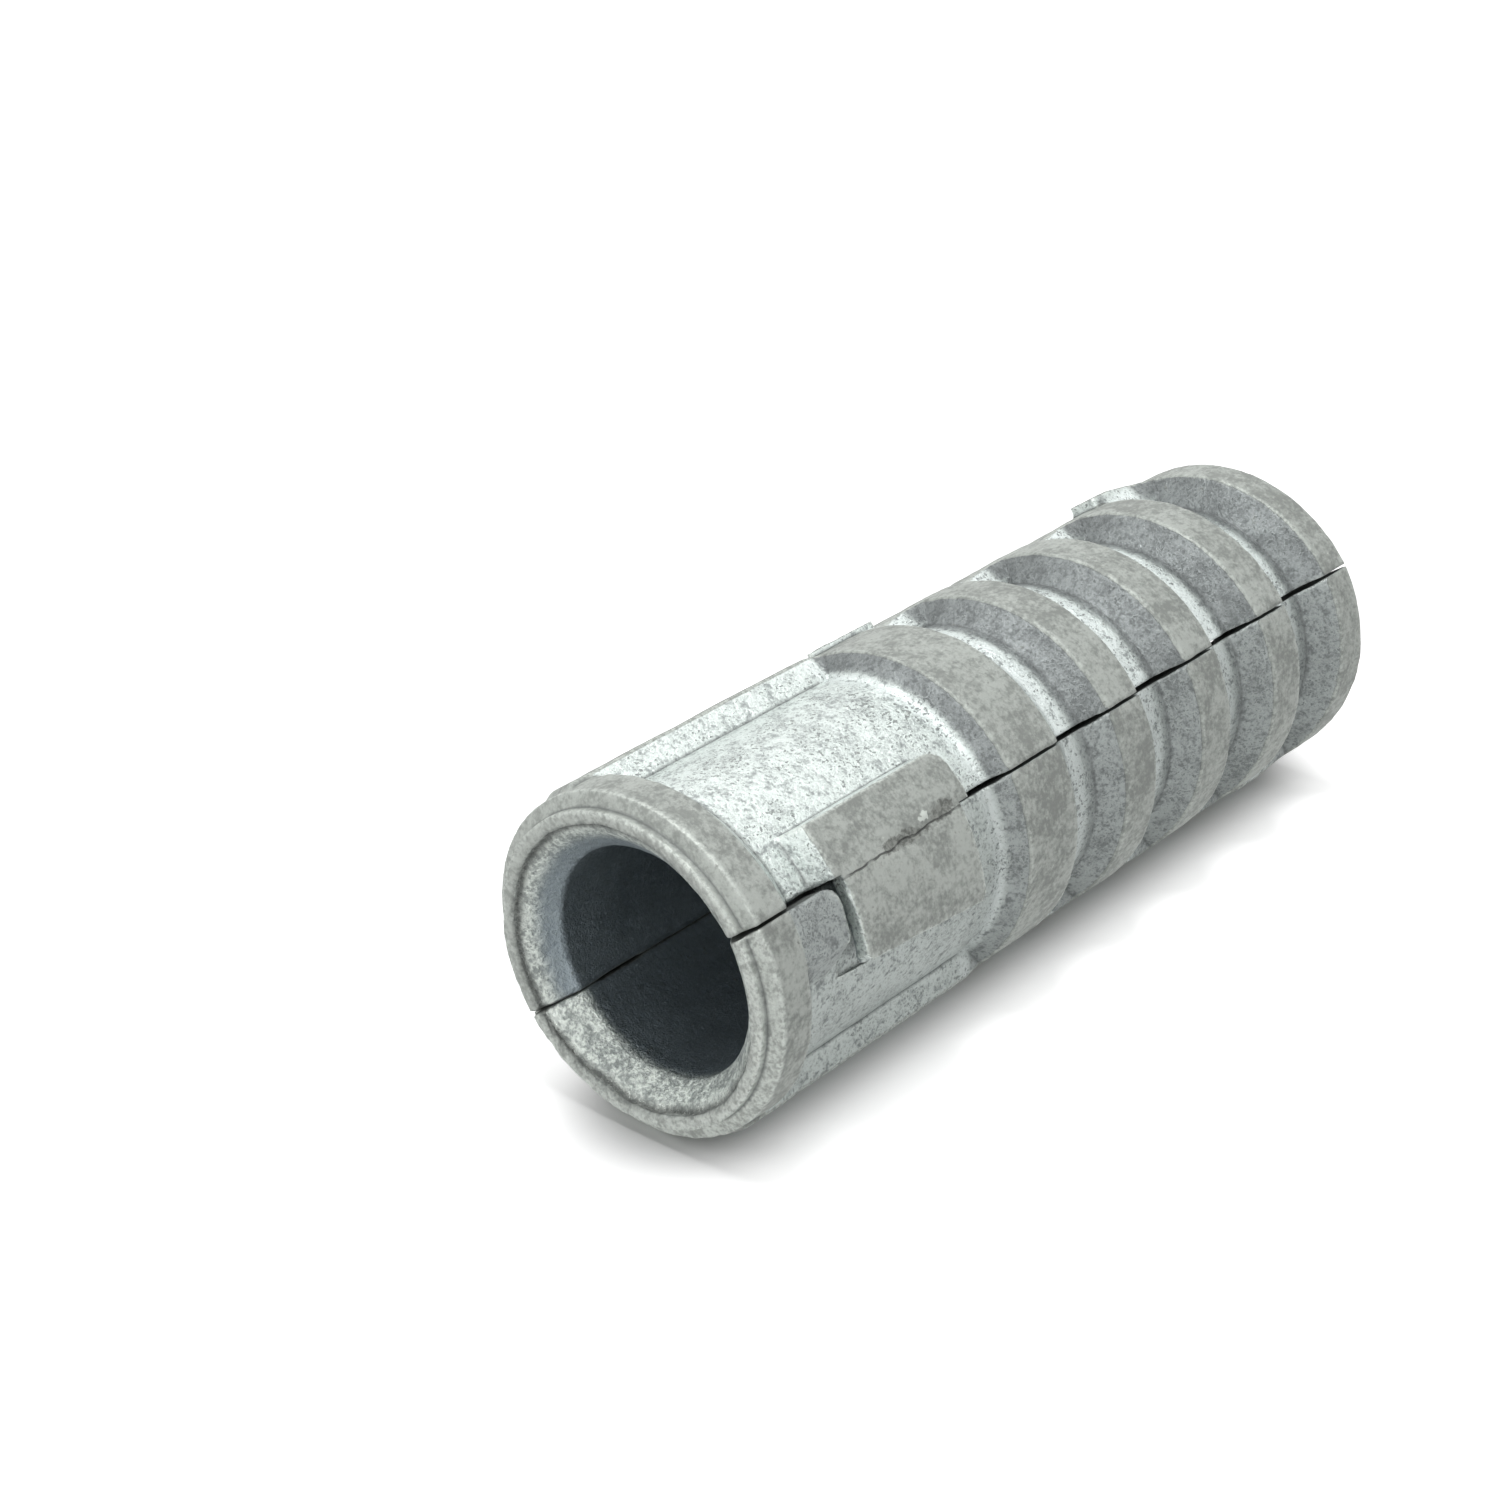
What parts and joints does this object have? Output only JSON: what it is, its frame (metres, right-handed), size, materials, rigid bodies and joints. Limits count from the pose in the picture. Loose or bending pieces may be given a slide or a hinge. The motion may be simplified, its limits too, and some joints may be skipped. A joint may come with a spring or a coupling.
{
  "type": "lag shield anchor",
  "caption": "Two-part ribbed zinc shield anchor that expands in a drilled masonry hole when a lag screw is driven in.",
  "frame": {"origin": "on the anchor's axis, at the tail face that it stands on", "axes": "+Z along the bore, from the tail up to the mouth; +X towards the half with the tabs, square to the split plane; -Y is the side with the seam that the picture shows"},
  "size_m": [0.0161, 0.016, 0.0444],
  "materials": {
    "tab_half": "grey zinc die casting, tumbled dull on the ribs, bright and speckled in the grooves",
    "plain_half": "grey zinc die casting, tumbled dull on the ribs, bright and speckled in the grooves"
  },
  "bodies": {
    "tab_body": {"tab_half": "tab_half"},
    "plain_body": {"plain_half": "plain_half"}
  },
  "joints": [
    {"name": "spread_hinge", "type": "hinge", "parent": "tab_body", "child": "plain_body", "pos_m": [0, 0, 0.04445], "axis": [0, 1, 0], "range_deg": [0, 4.5]}
  ]
}
